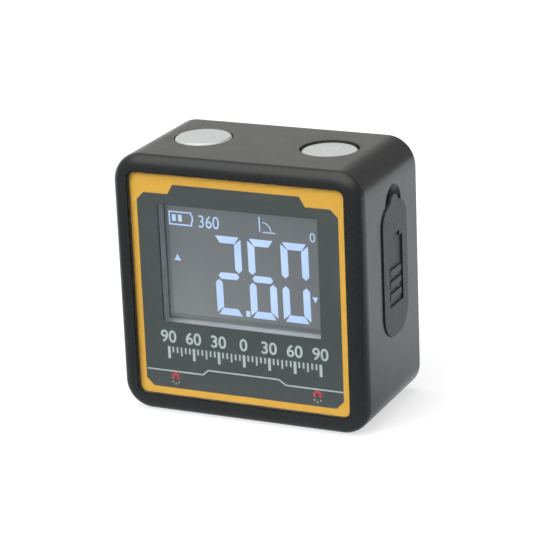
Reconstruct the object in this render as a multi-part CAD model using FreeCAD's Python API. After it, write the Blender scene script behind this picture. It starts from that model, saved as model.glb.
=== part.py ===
import FreeCAD, Part
import math
import os

# Pocket digital inclinometer, in millimetres.
# X runs to the right, Y from the window to the rear cover, Z up from the resting face.
# The origin is the middle of the resting face.
# A cut reaches past the solid by the overcut.

# Outer body
body_width = 52.0
body_height = 52.0
body_depth = 28.0
corner_radius = 5.65
front_edge_radius = 2.5
rear_edge_bevel = 0.5
wall = 2.0
overcut = 1.0

# Front window: a clear plate in a pocket, with ink on its back
border_side = 3.45
border_bottom = 3.55
border_top = 3.05
lens_recess = 0.2
lens_thickness = 1.2
lens_corner_radius = 1.6
lens_clearance = 0.1
ink_thickness = 0.1
tape_thickness = 0.3
tape_edge_gap = 0.4
front_wall = 1.4

# Outline of the dark ink panel inside the amber border
panel_border_side = 1.5
panel_border_bottom = 1.45
panel_border_top = 2.2
panel_crown_inset = 9.3
panel_crown_drop = 1.95
panel_crown_slope = 1.15
panel_corner_cut = 1.55

# Display window in the ink, and the display behind it
window_side_gap = 9.35
window_top_gap = 9.5
window_bottom = 18.8
opening_margin = 0.65
gasket_thickness = 2.1
polarizer_thickness = 0.2
polarizer_inset = 0.7
glass_thickness = 0.7
glass_margin = 0.95
glass_ledge = 1.3
diffuser_thickness = 0.2
guide_thickness = 2.3
guide_drop = 0.45
guide_fit = 0.1
frame_wall = 1.1
frame_back = 0.5
frame_foot_length = 2.9
frame_foot_radius = 1.2
frame_foot_inset = 1.8
led_width = 0.8
led_depth = 1.6
led_height = 3.0
led_pitch = 6.6
led_count = 3
pin_count = 18
pin_edge_gap = 2.3
pin_width = 0.5
pin_thickness = 0.25
pin_clip = 0.9
pin_foot = 0.9

# Main board and its fixings
board_thickness = 1.0
board_side_gap = 1.6
board_bottom_gap = 2.6
board_top_gap = 4.0
board_post_radius = 1.6
board_post_gap = 0.2
board_post_low_z = 11.0
board_post_top_gap = 14.0
board_screw_radius = 0.75
board_screw_length = 4.0
board_screw_head_radius = 1.5
board_screw_head_height = 1.1
screw_hole_clearance = 0.15
screw_clearance = 0.03

# Chips on the board
controller_size = 7.0
controller_thickness = 1.4
controller_side_gap = 14.0
controller_z = 22.0
controller_lead_count = 10
controller_lead_width = 0.25
controller_lead_length = 0.9
sensor_size = 3.0
sensor_thickness = 1.0
sensor_z = 12.0
charger_width = 3.0
charger_height = 1.75
charger_thickness = 1.2
charger_gap = 4.45
chip_part_width = 1.6
chip_part_height = 0.8
chip_part_thickness = 0.8
chip_part_pitch = 2.6
chip_part_count = 5
chip_part_row_drop = 2.2

# Axis of the switches and the charging socket, measured from the back of the board
part_axis_height = 1.58

# Push buttons and the switches under them
button_side_gap = 12.7
button_radius = 5.6
button_hole_clearance = 0.2
button_travel = 0.4
power_button_rise = 0.3
zero_button_rise = -0.35
button_bevel = 0.4
button_roof = 1.2
button_recess_radius = 4.5
button_stem_radius = 1.8
flange_radius = 6.4
flange_thickness = 1.0
flange_gap = 0.05
flange_relief = 0.4
switch_width = 6.0
switch_height = 3.6
plunger_width = 2.6
plunger_depth = 1.4
plunger_rise = 0.9
plunger_engagement = 1.2
plunger_clearance = 0.05
plunger_floor_gap = 0.1

# Charging socket and its port through the right side
port_rise = 4.0
socket_long = 8.94
socket_short = 3.16
socket_wall = 0.3
socket_length = 7.35
socket_setback = 1.0
socket_back = 0.5
tongue_long = 6.7
tongue_thickness = 0.7
tongue_setback = 0.65
tongue_root = 1.6
port_clearance = 0.35

# Rubber flap, its recess in the right side and the finger scoop
flap_width = 12.0
flap_below_port = 14.0
flap_above_port = 14.1
flap_shoulder_above_port = 8.5
flap_bottom_radius = 5.0
flap_shoulder_radius = 3.9
flap_nose_radius = 2.0
flap_neck_radius = 1.5
flap_thickness = 1.4
flap_proud = 0.3
flap_edge_clearance = 0.1
flap_floor_clearance = 0.1
flap_hinge_below_port = 9.6
flap_hinge_gap = 0.1
plug_depth = 0.85
plug_draft = 0.15
plug_clearance = 0.3
side_pad = 1.0
side_pad_margin = 1.2
scoop_above_port = 12.05
scoop_radius = 3.95
scoop_depth = 2.0
anchor_below_port = 11.9
anchor_stem_radius = 1.2
anchor_stem_clearance = 0.1
anchor_head_radius = 1.9
anchor_head_length = 1.2

# Magnets in the base
magnet_side_gap = 11.0
magnet_radius = 5.0
magnet_thickness = 2.5
magnet_edge = 0.2
magnet_clearance = 0.1
magnet_pad_radius = 6.2
magnet_roof = 1.0

# Rear cover and its screws
cover_thickness = 2.0
cover_lip = 1.2
cover_clearance = 0.15
cover_rib_thickness = 1.0
cover_rib_depth = 1.5
boss_inset = 4.5
boss_radius = 2.3
boss_clearance = 0.4
cover_screw_radius = 0.95
cover_screw_length = 7.0
cover_screw_head_radius = 1.9
cover_screw_head_height = 1.2
cover_screw_head_sink = 0.1
cover_screw_head_clearance = 0.2
cross_width = 0.4
cross_depth = 0.6
cross_edge = 0.8
pilot_extra_depth = 1.0

# Battery, with its pad, small board, leads and connector
battery_side_gap = 11.0
battery_top_gap = 18.5
battery_bottom_z = 8.5
battery_connector_gap = 1.6
battery_edge_share = 3
battery_pad_thickness = 1.0
battery_pad_inset = 4.0
battery_rib_clearance = 0.2
battery_rib_length = 12.0
battery_rib_depth = 3.5
terrace_height = 1.5
terrace_thickness = 1.0
terrace_inset = 1.0
protector_width = 22.0
protector_height = 2.6
protector_thickness = 0.8
connector_x = -4.0
connector_drop = 6.0
connector_width = 6.0
connector_height = 3.7
connector_depth = 3.4
connector_wall = 0.7
connector_floor = 1.0
connector_clearance = 0.1
plug_projection = 0.8
lead_radius = 0.45
lead_spacing = 2.0
lead_axis_height = 1.7

# Planes worked out from the sizes above, from front to back
front_y = -body_depth / 2
rear_y = body_depth / 2
lens_front_y = front_y + lens_recess
ink_front_y = lens_front_y + lens_thickness
tape_front_y = ink_front_y + ink_thickness
seat_y = tape_front_y + tape_thickness
inner_front_y = seat_y + front_wall
display_front_y = inner_front_y + gasket_thickness
glass_front_y = display_front_y + polarizer_thickness
glass_middle_y = glass_front_y + glass_thickness
glass_back_y = glass_middle_y + glass_thickness
diffuser_front_y = glass_back_y + polarizer_thickness
guide_front_y = diffuser_front_y + diffuser_thickness
guide_back_y = guide_front_y + guide_thickness
frame_back_y = guide_back_y + frame_back
board_front_y = frame_back_y + frame_foot_length
board_back_y = board_front_y + board_thickness
axis_y = board_back_y + part_axis_height
cover_inner_y = rear_y - cover_thickness
battery_back_y = cover_inner_y - battery_pad_thickness
battery_front_y = board_back_y + connector_depth + battery_connector_gap
battery_edge_radius = (battery_back_y - battery_front_y) / battery_edge_share

# Outlines worked out from the sizes above, seen from the front
half_width = body_width / 2
cavity_half_width = half_width - wall
cavity_bottom = wall
cavity_top = body_height - wall
lens_half_width = half_width - border_side - lens_clearance
lens_bottom = border_bottom + lens_clearance
lens_top = body_height - border_top - lens_clearance
window_half_width = half_width - window_side_gap
window_top = body_height - window_top_gap
opening_half_width = window_half_width + opening_margin
opening_bottom = window_bottom - opening_margin
opening_top = window_top + opening_margin
glass_half_width = window_half_width + glass_margin
glass_bottom = window_bottom - glass_margin
glass_top = window_top + glass_margin
ledge_bottom = glass_bottom - glass_ledge
frame_half_width = glass_half_width + guide_fit + frame_wall
frame_top = glass_top + guide_fit + frame_wall
frame_bottom = ledge_bottom + guide_fit
guide_bottom = glass_bottom - guide_drop
board_half_width = half_width - wall - board_side_gap
board_bottom = cavity_bottom + board_bottom_gap
board_top = cavity_top - board_top_gap
boss_half_width = half_width - boss_inset
boss_low_z = boss_inset
boss_high_z = body_height - boss_inset
post_half_width = frame_half_width + board_post_gap + board_post_radius
board_post_high_z = body_height - board_post_top_gap
flange_top = cavity_top - flange_gap
flange_bottom = flange_top - flange_thickness
plunger_top = board_top + plunger_rise
battery_half_width = half_width - battery_side_gap
battery_top_z = body_height - battery_top_gap
connector_z = battery_top_z - connector_drop
button_offset = half_width - button_side_gap
controller_x = controller_side_gap - half_width
magnet_offset = half_width - magnet_side_gap
pin_pitch = 2 * (glass_half_width - pin_edge_gap) / (pin_count - 1)

# Heights and planes worked out from the sizes above, on the right side
port_z = body_height / 2 + port_rise
flap_bottom_z = port_z - flap_below_port
flap_tip_z = port_z + flap_above_port
flap_shoulder_z = port_z + flap_shoulder_above_port
flap_hinge_z = port_z - flap_hinge_below_port
scoop_z = port_z + scoop_above_port
anchor_z = port_z - anchor_below_port
flap_outer_x = half_width + flap_proud
flap_inner_x = flap_outer_x - flap_thickness
pocket_floor_x = flap_inner_x - flap_floor_clearance
pad_inner_x = half_width - wall - side_pad
socket_mouth_x = pocket_floor_x - socket_setback
socket_back_x = socket_mouth_x - socket_length
charger_x = socket_back_x - charger_gap - charger_width / 2


def block(x0, x1, y0, y1, z0, z1):
    return Part.makeBox(x1 - x0, y1 - y0, z1 - z0, FreeCAD.Vector(x0, y0, z0))


def rod(radius, start, direction, length):
    return Part.makeCylinder(radius, length, FreeCAD.Vector(*start), FreeCAD.Vector(*direction))


def rounded_plate(half, bottom, top, radius, front, back):
    """A plate that faces the front, with round corners."""
    plate = block(-half, half, front, back, bottom, top)
    corners = [edge for edge in plate.Edges if edge.BoundBox.YLength > edge.BoundBox.DiagonalLength / 2]
    return plate.makeFillet(radius, corners)


def edges_on_plane(shape, y):
    return [edge for edge in shape.Edges
            if abs(edge.BoundBox.YMin - y) < 0.001 and abs(edge.BoundBox.YMax - y) < 0.001]


def revolved(profile, x, y):
    """A solid of revolution about an upright axis, from (radius, z) points."""
    points = [FreeCAD.Vector(x + radius, y, z) for radius, z in profile]
    face = Part.Face(Part.makePolygon(points + points[:1]))
    return face.revolve(FreeCAD.Vector(x, y, 0), FreeCAD.Vector(0, 0, 1), 360)


def slot_outline(half_long, half_short, x, y, z):
    """A slot shape across X, with its long side upright and round ends."""
    straight = half_long - half_short
    low_front = FreeCAD.Vector(x, y - half_short, z - straight)
    low_rear = FreeCAD.Vector(x, y + half_short, z - straight)
    high_front = FreeCAD.Vector(x, y - half_short, z + straight)
    high_rear = FreeCAD.Vector(x, y + half_short, z + straight)
    return Part.Wire([
        Part.Arc(low_front, FreeCAD.Vector(x, y, z - half_long), low_rear).toShape(),
        Part.LineSegment(low_rear, high_rear).toShape(),
        Part.Arc(high_rear, FreeCAD.Vector(x, y, z + half_long), high_front).toShape(),
        Part.LineSegment(high_front, low_front).toShape(),
    ])


def slot(half_long, half_short, x0, x1, y, z):
    face = Part.Face(slot_outline(half_long, half_short, x0, y, z))
    return face.extrude(FreeCAD.Vector(x1 - x0, 0, 0))


def corner_places():
    """The four rear cover screws, as x and z."""
    return [(side * boss_half_width, z) for side in (-1, 1) for z in (boss_low_z, boss_high_z)]


def post_places():
    """The four board screws, as x and z."""
    return [(side * post_half_width, z) for side in (-1, 1) for z in (board_post_low_z, board_post_high_z)]


def arc_about(centre, radius, start, end):
    """A round edge of under half a turn from start to end."""
    towards = (start + end) * 0.5 - centre
    return Part.Arc(start, centre + towards.normalize() * radius, end).toShape()


def flap_plate(grow, x0, x1):
    """The flap's outline, grown all round: round below, with shoulders and a nose above."""
    half = flap_width / 2 + grow
    bottom = flap_bottom_z - grow
    low_radius = flap_bottom_radius + grow
    shoulder = flap_shoulder_radius + grow
    nose = flap_nose_radius + grow
    neck = flap_neck_radius - grow
    nose_z = flap_tip_z - flap_nose_radius
    shoulder_y = half - shoulder

    # The neck's circle touches the shoulder's and the nose's from outside.
    span = math.hypot(shoulder_y, nose_z - flap_shoulder_z)
    along = ((shoulder + neck) ** 2 - (nose + neck) ** 2 + span ** 2) / (2 * span)
    aside = math.sqrt((shoulder + neck) ** 2 - along ** 2)
    unit_y = -shoulder_y / span
    unit_z = (nose_z - flap_shoulder_z) / span
    neck_y = shoulder_y + along * unit_y + aside * unit_z
    neck_z = flap_shoulder_z + along * unit_z - aside * unit_y

    def point(side, y, z):
        return FreeCAD.Vector(x0, axis_y + side * y, z)

    def touch(centre_y, centre_z, radius):
        share = radius / (radius + neck)
        return centre_y + (neck_y - centre_y) * share, centre_z + (neck_z - centre_z) * share

    high_y, high_z = touch(shoulder_y, flap_shoulder_z, shoulder)
    nose_side_y, nose_side_z = touch(0, nose_z, nose)
    edges = []
    for side in (-1, 1):
        flat_end = point(side, half - low_radius, bottom)
        side_low = point(side, half, bottom + low_radius)
        side_high = point(side, half, flap_shoulder_z)
        neck_low = point(side, high_y, high_z)
        neck_high = point(side, nose_side_y, nose_side_z)
        edges.append(Part.LineSegment(point(side, 0, bottom), flat_end).toShape())
        edges.append(arc_about(point(side, half - low_radius, bottom + low_radius), low_radius,
                               flat_end, side_low))
        edges.append(Part.LineSegment(side_low, side_high).toShape())
        edges.append(arc_about(point(side, shoulder_y, flap_shoulder_z), shoulder, side_high, neck_low))
        edges.append(arc_about(point(side, neck_y, neck_z), neck, neck_low, neck_high))
        edges.append(arc_about(point(side, 0, nose_z), nose, neck_high, point(side, 0, nose_z + nose)))
    outline = Part.Wire(Part.__sortEdges__(edges))
    return Part.Face(outline).extrude(FreeCAD.Vector(x1 - x0, 0, 0))


def housing():
    shell = rounded_plate(half_width, 0, body_height, corner_radius, front_y, rear_y)
    shell = shell.makeFillet(front_edge_radius, edges_on_plane(shell, front_y))
    shell = shell.makeChamfer(rear_edge_bevel, edges_on_plane(shell, rear_y))
    shell = shell.cut(rounded_plate(cavity_half_width, cavity_bottom, cavity_top, corner_radius - wall,
                                    inner_front_y, rear_y))
    shell = shell.fuse(housing_supports())
    return shell.cut(housing_cuts()).removeSplitter()


def housing_supports():
    """What the housing carries inside: screw bosses, board posts, magnet seats and the port pad."""
    supports = []
    for x, z in corner_places():
        supports.append(rod(boss_radius, (x, inner_front_y, z), (0, 1, 0), cover_inner_y - inner_front_y))
    for x, z in post_places():
        supports.append(rod(board_post_radius, (x, inner_front_y, z), (0, 1, 0),
                            board_front_y - inner_front_y))
    for side in (-1, 1):
        supports.append(rod(magnet_pad_radius, (side * magnet_offset, 0, 0), (0, 0, 1),
                            magnet_thickness + magnet_clearance + magnet_roof))
    pad_half = max(flap_width / 2, scoop_radius) + side_pad_margin
    supports.append(block(pad_inner_x, half_width - wall / 2, axis_y - pad_half, axis_y + pad_half,
                          flap_bottom_z - side_pad_margin, scoop_z + scoop_radius + side_pad_margin))
    return supports


def housing_cuts():
    """Every opening, pocket and hole in the housing."""
    cuts = [
        rounded_plate(half_width - border_side, border_bottom, body_height - border_top,
                      lens_corner_radius + lens_clearance, front_y - overcut, seat_y),
        block(-opening_half_width, opening_half_width, seat_y - overcut, inner_front_y + overcut,
              opening_bottom, opening_top),
        rounded_plate(half_width - cover_lip, cover_lip, body_height - cover_lip,
                      corner_radius - cover_lip, cover_inner_y, rear_y + overcut),
    ]
    pilot_depth = cover_screw_length - cover_thickness + pilot_extra_depth + cover_screw_head_height
    for x, z in corner_places():
        cuts.append(rod(cover_screw_radius + screw_clearance, (x, cover_inner_y + overcut, z), (0, -1, 0),
                        pilot_depth + overcut))
    for x, z in post_places():
        cuts.append(rod(board_screw_radius + screw_clearance, (x, board_front_y + overcut, z), (0, -1, 0),
                        board_screw_length - board_thickness + pilot_extra_depth + overcut))
    for side in (-1, 1):
        x = side * button_offset
        cuts.append(rod(button_radius + button_hole_clearance, (x, axis_y, cavity_top - overcut),
                        (0, 0, 1), wall + 2 * overcut))
        relief_bottom = flange_bottom - button_travel - flange_relief
        cuts.append(rod(flange_radius + flange_relief, (x, axis_y, relief_bottom), (0, 0, 1),
                        cavity_top - relief_bottom))
        cuts.append(rod(magnet_radius + magnet_clearance, (side * magnet_offset, 0, -overcut), (0, 0, 1),
                        magnet_thickness + magnet_clearance + overcut))
    return cuts + port_cuts()


def port_cuts():
    """The flap's recess, the finger scoop, the socket's port and the anchor's hole."""
    ball = (scoop_radius ** 2 + scoop_depth ** 2) / (2 * scoop_depth)
    scoop_centre = FreeCAD.Vector(half_width + ball - scoop_depth, axis_y, scoop_z)
    return [
        flap_plate(flap_edge_clearance, pocket_floor_x, half_width + overcut),
        Part.makeSphere(ball, scoop_centre),
        slot(socket_long / 2 + port_clearance, socket_short / 2 + port_clearance,
                pad_inner_x - overcut, half_width, axis_y, port_z),
        rod(anchor_stem_radius + anchor_stem_clearance, (pad_inner_x - overcut, axis_y, anchor_z),
            (1, 0, 0), side_pad + wall),
    ]


def rear_cover():
    plate = rounded_plate(half_width - cover_lip - cover_clearance, cover_lip + cover_clearance,
                          body_height - cover_lip - cover_clearance,
                          corner_radius - cover_lip - cover_clearance, cover_inner_y, rear_y)
    inset = wall + cover_clearance
    rib_front_y = cover_inner_y - cover_rib_depth
    rib = rounded_plate(half_width - inset, inset, body_height - inset, corner_radius - inset,
                        rib_front_y, cover_inner_y)
    inner = inset + cover_rib_thickness
    rib = rib.cut(rounded_plate(half_width - inner, inner, body_height - inner, corner_radius - inner,
                                rib_front_y - overcut, cover_inner_y))
    rib = rib.cut([rod(boss_radius + boss_clearance, (x, rib_front_y - overcut, z), (0, 1, 0),
                       cover_rib_depth + overcut) for x, z in corner_places()])
    cover = plate.fuse([rib] + battery_ribs())
    holes = []
    sink = cover_screw_head_height + cover_screw_head_sink
    for x, z in corner_places():
        holes.append(rod(cover_screw_radius + screw_hole_clearance, (x, cover_inner_y - overcut, z),
                         (0, 1, 0), cover_thickness + 2 * overcut))
        holes.append(rod(cover_screw_head_radius + cover_screw_head_clearance, (x, rear_y - sink, z),
                         (0, 1, 0), sink + overcut))
    return cover.cut(holes).removeSplitter()


def battery_ribs():
    """Four ribs on the inside of the rear cover that keep the battery in place."""
    front = cover_inner_y - battery_rib_depth
    half = battery_half_width + battery_rib_clearance
    low = battery_bottom_z - battery_rib_clearance
    middle = (battery_bottom_z + battery_top_z) / 2
    reach = battery_rib_length / 2
    ribs = []
    for side in (-1, 1):
        x0, x1 = sorted((side * half, side * (half + cover_rib_thickness)))
        ribs.append(block(x0, x1, front, cover_inner_y, middle - reach, middle + reach))
        x0, x1 = sorted((side * half, side * (half - reach)))
        ribs.append(block(x0, x1, front, cover_inner_y, low - cover_rib_thickness, low))
    return ribs


def screw(x, z, seat, radius, length, head_radius, head_height):
    """A screw along Y whose head rests on the plane y = seat and faces the rear."""
    profile = [(0, seat - length), (radius, seat - length), (radius, seat), (head_radius, seat),
               (head_radius, seat + head_height), (0, seat + head_height)]
    points = [FreeCAD.Vector(x + r, y, z) for r, y in profile]
    face = Part.Face(Part.makePolygon(points + points[:1]))
    return face.revolve(FreeCAD.Vector(x, 0, z), FreeCAD.Vector(0, 1, 0), 360)


def rear_cover_screws():
    """Four screws with a cross in each head, all the same way up."""
    seat = rear_y - cover_screw_head_height - cover_screw_head_sink
    top = seat + cover_screw_head_height
    bottom = top - cross_depth
    arm = cover_screw_head_radius - cross_edge
    screws = []
    for x, z in corner_places():
        body = screw(x, z, seat, cover_screw_radius, cover_screw_length,
                     cover_screw_head_radius, cover_screw_head_height)
        screws.append(body.cut([
            block(x - arm, x + arm, bottom, top, z - cross_width / 2, z + cross_width / 2),
            block(x - cross_width / 2, x + cross_width / 2, bottom, top, z - arm, z + arm),
        ]))
    return Part.makeCompound(screws)


def board_screws():
    return Part.makeCompound([screw(x, z, board_back_y, board_screw_radius, board_screw_length,
                                    board_screw_head_radius, board_screw_head_height)
                              for x, z in post_places()])


def front_lens():
    return rounded_plate(lens_half_width, lens_bottom, lens_top, lens_corner_radius,
                         lens_front_y, ink_front_y)


def panel_outline(front, back):
    """The dark panel: cut corners, and a crown along the top."""
    side = lens_half_width - panel_border_side
    low = lens_bottom + panel_border_bottom
    high = lens_top - panel_border_top
    shoulder = high - panel_crown_drop
    cut = panel_corner_cut
    crown = lens_half_width - panel_crown_inset
    right = [(side - cut, low), (side, low + cut), (side, shoulder - cut), (side - cut, shoulder),
             (crown + panel_crown_slope, shoulder), (crown, high)]
    left = [(-x, z) for x, z in reversed(right)]
    points = [FreeCAD.Vector(x, front, z) for x, z in right + left]
    return Part.Face(Part.makePolygon(points + points[:1])).extrude(FreeCAD.Vector(0, back - front, 0))


def lens_border_print():
    sheet = rounded_plate(lens_half_width, lens_bottom, lens_top, lens_corner_radius,
                          ink_front_y, tape_front_y)
    return sheet.cut(panel_outline(ink_front_y - overcut, tape_front_y + overcut))


def lens_panel_print():
    window = block(-window_half_width, window_half_width, ink_front_y - overcut,
                   tape_front_y + overcut, window_bottom, window_top)
    return panel_outline(ink_front_y, tape_front_y).cut(window)


def lens_tape():
    sheet = rounded_plate(lens_half_width - tape_edge_gap, lens_bottom + tape_edge_gap,
                          lens_top - tape_edge_gap, lens_corner_radius - tape_edge_gap,
                          tape_front_y, seat_y)
    return sheet.cut(block(-opening_half_width - tape_edge_gap, opening_half_width + tape_edge_gap,
                           tape_front_y - overcut, seat_y + overcut,
                           opening_bottom - tape_edge_gap, opening_top + tape_edge_gap))


def display_gasket():
    ring = block(-frame_half_width, frame_half_width, inner_front_y, display_front_y,
                 frame_bottom, frame_top)
    return ring.cut(block(-opening_half_width, opening_half_width, inner_front_y - overcut,
                          display_front_y + overcut, opening_bottom, opening_top))


def lcd_polarizer(front):
    half = glass_half_width - polarizer_inset
    return block(-half, half, front, front + polarizer_thickness,
                 glass_bottom + polarizer_inset, glass_top - polarizer_inset)


def lcd_cell():
    """Two glass plates, the rear one longer below, where the pins clip on."""
    front_glass = block(-glass_half_width, glass_half_width, glass_front_y, glass_middle_y,
                        glass_bottom, glass_top)
    rear_glass = block(-glass_half_width, glass_half_width, glass_middle_y, glass_back_y,
                       ledge_bottom, glass_top)
    return front_glass.fuse(rear_glass).removeSplitter()


def lcd_diffuser():
    return block(-glass_half_width, glass_half_width, diffuser_front_y, guide_front_y,
                 guide_bottom, glass_top)


def lcd_light_guide():
    return block(-glass_half_width, glass_half_width, guide_front_y, guide_back_y,
                 guide_bottom, glass_top)


def led_places():
    middle = (guide_bottom + glass_top) / 2
    first = middle - led_pitch * (led_count - 1) / 2
    return [first + led_pitch * index for index in range(led_count)]


def lcd_backlight_leds():
    """Small lamps along the left edge of the light guide."""
    right = -glass_half_width - guide_fit / 2
    return Part.makeCompound([block(right - led_width, right, guide_back_y - led_depth, guide_back_y,
                                    z - led_height / 2, z + led_height / 2) for z in led_places()])


def lcd_frame():
    """A tray that holds glass and light guide, on four feet, open in front and below the glass."""
    inner_half = frame_half_width - frame_wall
    tray = block(-frame_half_width, frame_half_width, display_front_y, frame_back_y,
                 frame_bottom, frame_top)
    tray = tray.cut(block(-inner_half, inner_half, display_front_y - overcut, guide_back_y,
                          guide_bottom - guide_fit, glass_top + guide_fit))
    tray = tray.cut(block(-inner_half, inner_half, display_front_y - overcut, diffuser_front_y,
                          frame_bottom - overcut, glass_top + guide_fit))
    led_left = -glass_half_width - led_width - guide_fit
    led_front = guide_back_y - led_depth - guide_fit
    led_reach = led_height / 2 + guide_fit
    tray = tray.cut([block(led_left, -inner_half, led_front, guide_back_y, z - led_reach, z + led_reach)
                     for z in led_places()])
    foot_x = frame_half_width - frame_foot_inset
    feet = []
    for side in (-1, 1):
        for z in (frame_bottom + frame_foot_inset, frame_top - frame_foot_inset):
            feet.append(rod(frame_foot_radius, (side * foot_x, frame_back_y, z), (0, 1, 0),
                            frame_foot_length))
    return tray.fuse(feet).removeSplitter()


def lcd_pins():
    """A comb of clips on the glass ledge, each with a leg back to the board and a foot on it."""
    clip_y = glass_middle_y - pin_thickness
    under_z = ledge_bottom - pin_thickness
    foot_y = board_front_y - pin_thickness
    profile = [(clip_y, under_z), (foot_y, under_z), (foot_y, under_z - pin_foot),
               (board_front_y, under_z - pin_foot), (board_front_y, ledge_bottom),
               (glass_middle_y, ledge_bottom), (glass_middle_y, ledge_bottom + pin_clip),
               (clip_y, ledge_bottom + pin_clip)]
    pins = []
    for index in range(pin_count):
        x = (index - (pin_count - 1) / 2) * pin_pitch - pin_width / 2
        points = [FreeCAD.Vector(x, y, z) for y, z in profile]
        side = Part.Face(Part.makePolygon(points + points[:1]))
        pins.append(side.extrude(FreeCAD.Vector(pin_width, 0, 0)))
    return Part.makeCompound(pins)


def main_board():
    board = block(-board_half_width, board_half_width, board_front_y, board_back_y,
                  board_bottom, board_top)
    start_y = board_front_y - overcut
    depth = board_thickness + 2 * overcut
    cuts = [rod(boss_radius + boss_clearance, (x, start_y, z), (0, 1, 0), depth)
            for x, z in corner_places()]
    cuts += [rod(board_screw_radius + screw_hole_clearance, (x, start_y, z), (0, 1, 0), depth)
             for x, z in post_places()]
    return board.cut(cuts)


def on_board(x, z, width, height, thickness):
    """A chip on the back of the board, centred on x and z."""
    return block(x - width / 2, x + width / 2, board_back_y, board_back_y + thickness,
                 z - height / 2, z + height / 2)


def microcontroller():
    """A flat square package with leads along all four sides."""
    package = on_board(controller_x, controller_z, controller_size, controller_size, controller_thickness)
    pitch = controller_size / (controller_lead_count + 1)
    span = controller_size + 2 * controller_lead_length
    leads = []
    for index in range(controller_lead_count):
        place = (index - (controller_lead_count - 1) / 2) * pitch
        leads.append(on_board(controller_x, controller_z + place, span, controller_lead_width,
                              controller_lead_width))
        leads.append(on_board(controller_x + place, controller_z, controller_lead_width, span,
                              controller_lead_width))
    return package.fuse(leads).removeSplitter()


def board_components():
    """A row of small parts under the controller and a column of them beside the charger chip."""
    parts = []
    row_z = controller_z - controller_size / 2 - controller_lead_length - chip_part_row_drop
    column_x = charger_x - charger_width / 2 - chip_part_row_drop
    for index in range(chip_part_count):
        place = (index - (chip_part_count - 1) / 2) * chip_part_pitch
        parts.append(on_board(controller_x + place, row_z, chip_part_width, chip_part_height,
                              chip_part_thickness))
        parts.append(on_board(column_x, port_z + place, chip_part_width, chip_part_height,
                              chip_part_thickness))
    return Part.makeCompound(parts)


def socket_bore(x0, x1):
    return slot(socket_long / 2 - socket_wall, socket_short / 2 - socket_wall, x0, x1, axis_y, port_z)


def usb_socket_shell():
    shell = slot(socket_long / 2, socket_short / 2, socket_back_x, socket_mouth_x, axis_y, port_z)
    return shell.cut(socket_bore(socket_back_x + socket_back, socket_mouth_x + overcut))


def usb_socket_tongue():
    root_x = socket_back_x + socket_back
    root = socket_bore(root_x, root_x + tongue_root)
    tongue = block(root_x, socket_mouth_x - tongue_setback, axis_y - tongue_thickness / 2,
                   axis_y + tongue_thickness / 2, port_z - tongue_long / 2, port_z + tongue_long / 2)
    return root.fuse(tongue).removeSplitter()


def switch_body(side):
    x = side * button_offset
    body = block(x - switch_width / 2, x + switch_width / 2, board_back_y,
                 board_back_y + 2 * part_axis_height, board_top - switch_height, board_top)
    gap = plunger_clearance
    floor = board_top - plunger_engagement - button_travel - plunger_floor_gap
    return body.cut(block(x - plunger_width / 2 - gap, x + plunger_width / 2 + gap,
                          axis_y - plunger_depth / 2 - gap, axis_y + plunger_depth / 2 + gap,
                          floor, board_top + overcut))


def switch_plunger(side):
    x = side * button_offset
    return block(x - plunger_width / 2, x + plunger_width / 2, axis_y - plunger_depth / 2,
                 axis_y + plunger_depth / 2, board_top - plunger_engagement, plunger_top)


def button_cap(side, rise):
    """A cap with a bevelled rim, a flange under the top wall and a stem down to its switch."""
    top = body_height + rise
    profile = [(0, plunger_top), (button_stem_radius, plunger_top), (button_stem_radius, top - button_roof),
               (button_recess_radius, top - button_roof), (button_recess_radius, flange_bottom),
               (flange_radius, flange_bottom), (flange_radius, flange_top), (button_radius, flange_top),
               (button_radius, top - button_bevel), (button_radius - button_bevel, top), (0, top)]
    return revolved(profile, side * button_offset, axis_y)


def base_magnet(side):
    edge = magnet_edge
    profile = [(0, 0), (magnet_radius - edge, 0), (magnet_radius, edge),
               (magnet_radius, magnet_thickness - edge), (magnet_radius - edge, magnet_thickness),
               (0, magnet_thickness)]
    return revolved(profile, side * magnet_offset, 0)


def flap_part(low, high):
    """The stretch of the flap's plate between two heights."""
    plate = flap_plate(0, flap_inner_x, flap_outer_x)
    return plate.common(block(flap_inner_x, flap_outer_x, axis_y - flap_width, axis_y + flap_width,
                              low, high))


def port_flap():
    """The part that swings, with a tapered plug that closes the port in front of the socket."""
    half_long = socket_long / 2 + port_clearance - plug_clearance
    half_short = socket_short / 2 + port_clearance - plug_clearance
    tip = slot_outline(half_long - plug_draft, half_short - plug_draft, flap_inner_x - plug_depth,
                       axis_y, port_z)
    root = slot_outline(half_long, half_short, flap_inner_x, axis_y, port_z)
    plug = Part.makeLoft([tip, root], True)
    return flap_part(flap_hinge_z + flap_hinge_gap / 2, flap_tip_z).fuse(plug)


def flap_anchor():
    """The end of the flap that stays put, with a stem through the side and a head behind it."""
    stem_back_x = pad_inner_x - anchor_head_length
    stem = rod(anchor_stem_radius, (stem_back_x, axis_y, anchor_z), (1, 0, 0), flap_inner_x - stem_back_x)
    head = Part.makeCone(anchor_stem_radius, anchor_head_radius, anchor_head_length,
                         FreeCAD.Vector(stem_back_x, axis_y, anchor_z), FreeCAD.Vector(1, 0, 0))
    plate = flap_part(flap_bottom_z, flap_hinge_z - flap_hinge_gap / 2)
    return plate.fuse([stem, head]).removeSplitter()


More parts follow.
